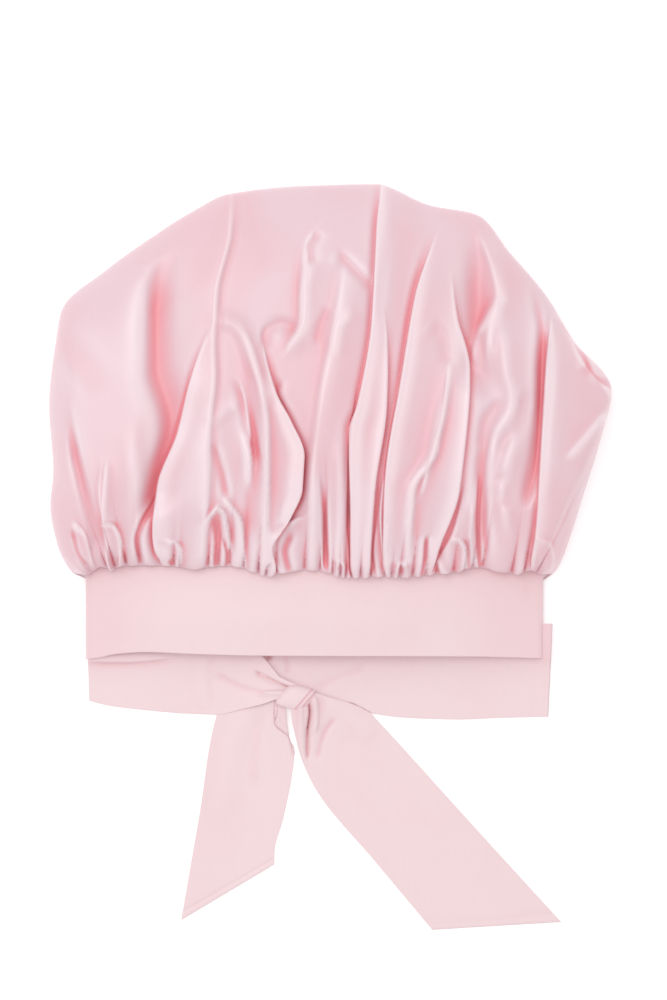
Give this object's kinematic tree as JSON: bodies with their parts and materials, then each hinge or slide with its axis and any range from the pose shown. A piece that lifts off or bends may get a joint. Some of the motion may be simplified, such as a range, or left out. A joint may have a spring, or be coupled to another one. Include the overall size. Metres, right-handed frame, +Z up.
{
  "type": "sleep bonnet",
  "caption": "Satin sleep bonnet lying flat: a full gathered crown on a wide band whose ends tie in a knot with free tails.",
  "frame": {"origin": "under the middle of the whole bonnet, on the surface it lies on", "axes": "+Z up from the surface, +Y from the tails towards the top of the crown, +X across the band"},
  "size_m": [0.3444, 0.4582, 0.0526],
  "materials": {
    "crown_satin": "soft pale pink satin with a broad sheen",
    "band_satin": "pale pink satin, pressed flat, with a dull sheen"
  },
  "bodies": {
    "root": {"crown": "crown_satin", "front_band": "band_satin", "tie_left": "band_satin", "tie_right": "band_satin", "knot": "band_satin", "tail_left": "band_satin", "tail_right": "band_satin"}
  },
  "joints": []
}
